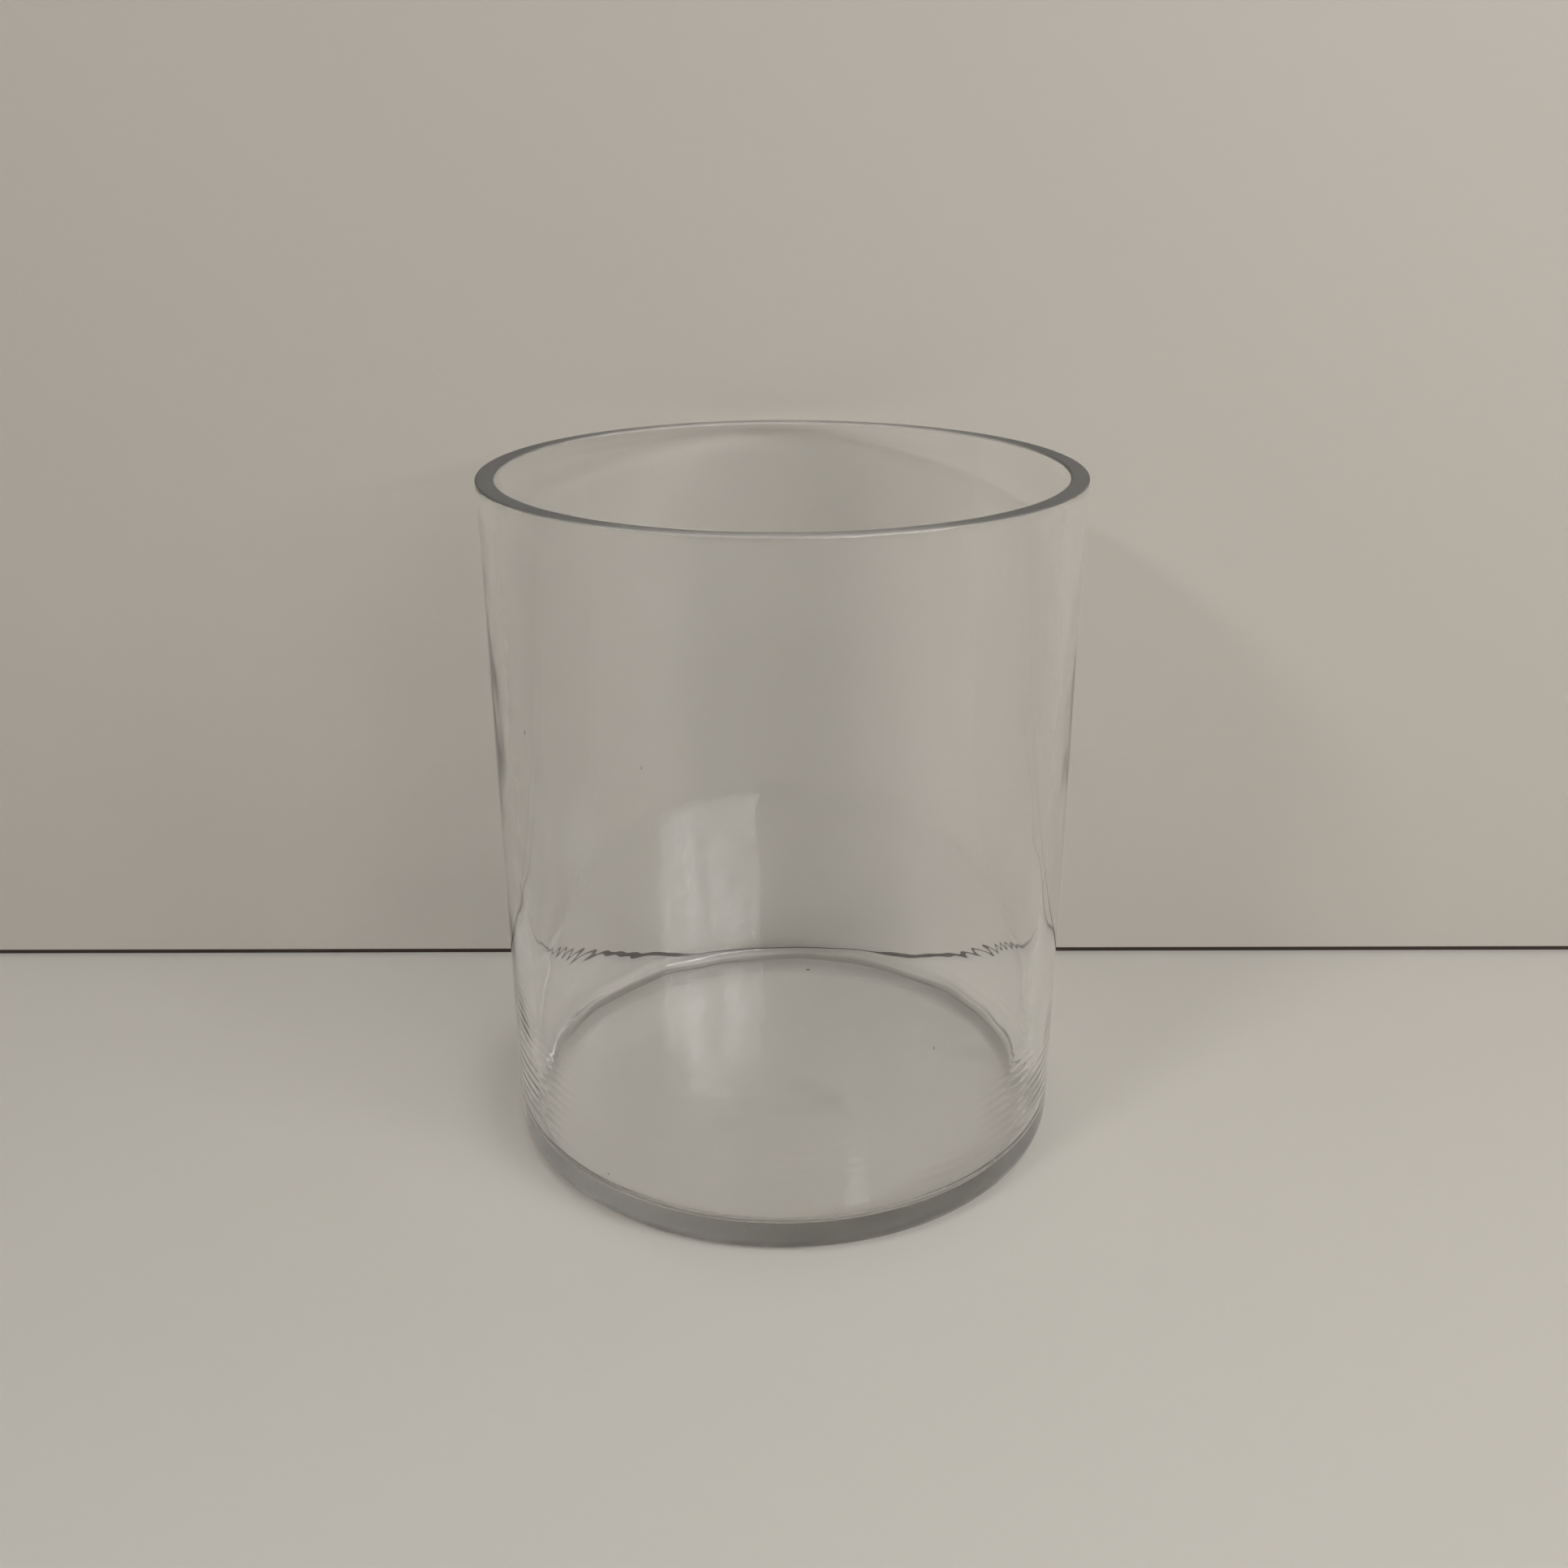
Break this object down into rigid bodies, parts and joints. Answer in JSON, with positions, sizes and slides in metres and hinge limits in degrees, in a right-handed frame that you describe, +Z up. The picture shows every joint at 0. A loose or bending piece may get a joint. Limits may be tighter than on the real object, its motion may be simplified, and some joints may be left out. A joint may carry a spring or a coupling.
{
  "type": "glass cylinder vase",
  "caption": "Clear glass cylinder vase with a straight heavy wall, a thick coved base, a rounded foot and a ground flat rim.",
  "frame": {"origin": "centre of the flat underside that the vase stands on", "axes": "+Z up along the vase's own axis, towards the open mouth; the vase is round, so +X and +Y are free"},
  "size_m": [0.25, 0.25, 0.3],
  "materials": {
    "clear_glass": "polished, ground flat on the rim"
  },
  "bodies": {
    "root": {"coved_base": "clear_glass", "cylinder_wall": "clear_glass"}
  },
  "joints": []
}
